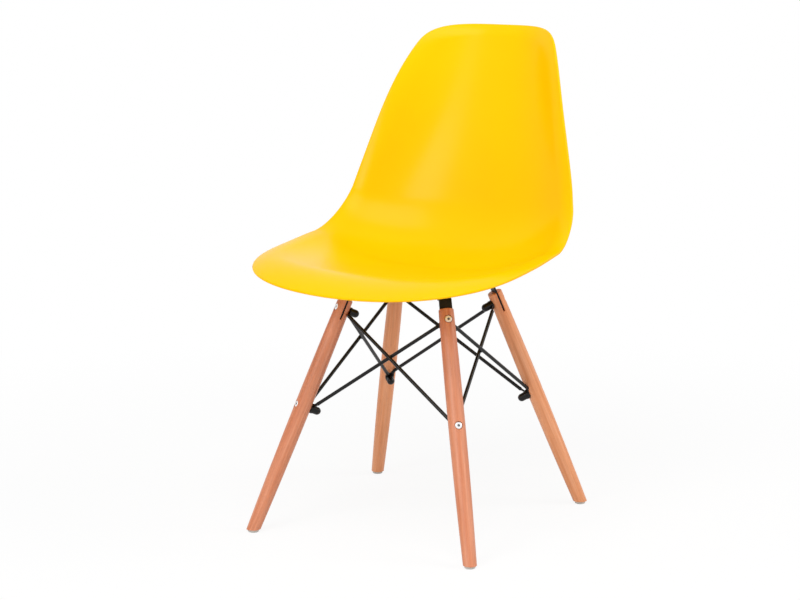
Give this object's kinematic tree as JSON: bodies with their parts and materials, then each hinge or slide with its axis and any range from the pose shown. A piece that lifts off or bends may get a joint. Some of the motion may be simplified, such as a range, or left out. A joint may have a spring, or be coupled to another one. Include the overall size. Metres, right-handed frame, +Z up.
{
  "type": "moulded plastic shell chair",
  "caption": "Dining chair with a moulded plastic bucket shell on splayed round beech legs, crossed black steel brace rods and a flat-bar frame under the seat.",
  "frame": {"origin": "on the floor, under the middle of the chair's outer box", "axes": "+Z up, -Y the way the sitter faces, +X the sitter's left"},
  "size_m": [0.479, 0.5666, 0.8216],
  "materials": {
    "shell_plastic": "moulded polypropylene, yellow, soft gloss with a very fine moulded grain",
    "beech": "turned beech, clear satin lacquer",
    "black_steel": "flat steel bar, black powder coat",
    "rod_steel": "round steel rod, black semi-gloss enamel",
    "black_nuts": "steel cap nuts, black coated",
    "zinc_bolts": "steel bolts, bright zinc plate",
    "zinc_screws": "steel screws and washers, bright zinc plate",
    "insert_brass": "turned brass",
    "nail_steel": "drawn steel nails",
    "mount_rubber": "moulded black rubber",
    "glide_plastic": "moulded pale grey nylon"
  },
  "bodies": {
    "root": {"seat_shell": "shell_plastic", "shell_threaded_inserts": "insert_brass", "mount_screws": "zinc_screws", "mount_washers": "zinc_screws", "glide_nails": "nail_steel", "frame_diagonal_bar": "black_steel", "frame_arm_front_right": "black_steel", "frame_arm_rear_left": "black_steel", "frame_welds": "black_steel", "leg_bolts_upper": "zinc_bolts", "leg_bolts_lower": "zinc_bolts", "cap_nuts_upper": "black_nuts", "cap_nuts_lower": "black_nuts", "brace_welds": "rod_steel", "shock_mount_front_left": "mount_rubber", "leg_front_left": "beech", "glide_front_left": "glide_plastic", "shock_mount_front_right": "mount_rubber", "leg_front_right": "beech", "glide_front_right": "glide_plastic", "shock_mount_rear_left": "mount_rubber", "leg_rear_left": "beech", "glide_rear_left": "glide_plastic", "shock_mount_rear_right": "mount_rubber", "leg_rear_right": "beech", "glide_rear_right": "glide_plastic", "brace_rod_front_outer": "rod_steel", "brace_rod_front_inner": "rod_steel", "brace_rod_rear_outer": "rod_steel", "brace_rod_rear_inner": "rod_steel", "brace_rod_left_outer": "rod_steel", "brace_rod_left_inner": "rod_steel", "brace_rod_right_outer": "rod_steel", "brace_rod_right_inner": "rod_steel"}
  },
  "joints": []
}
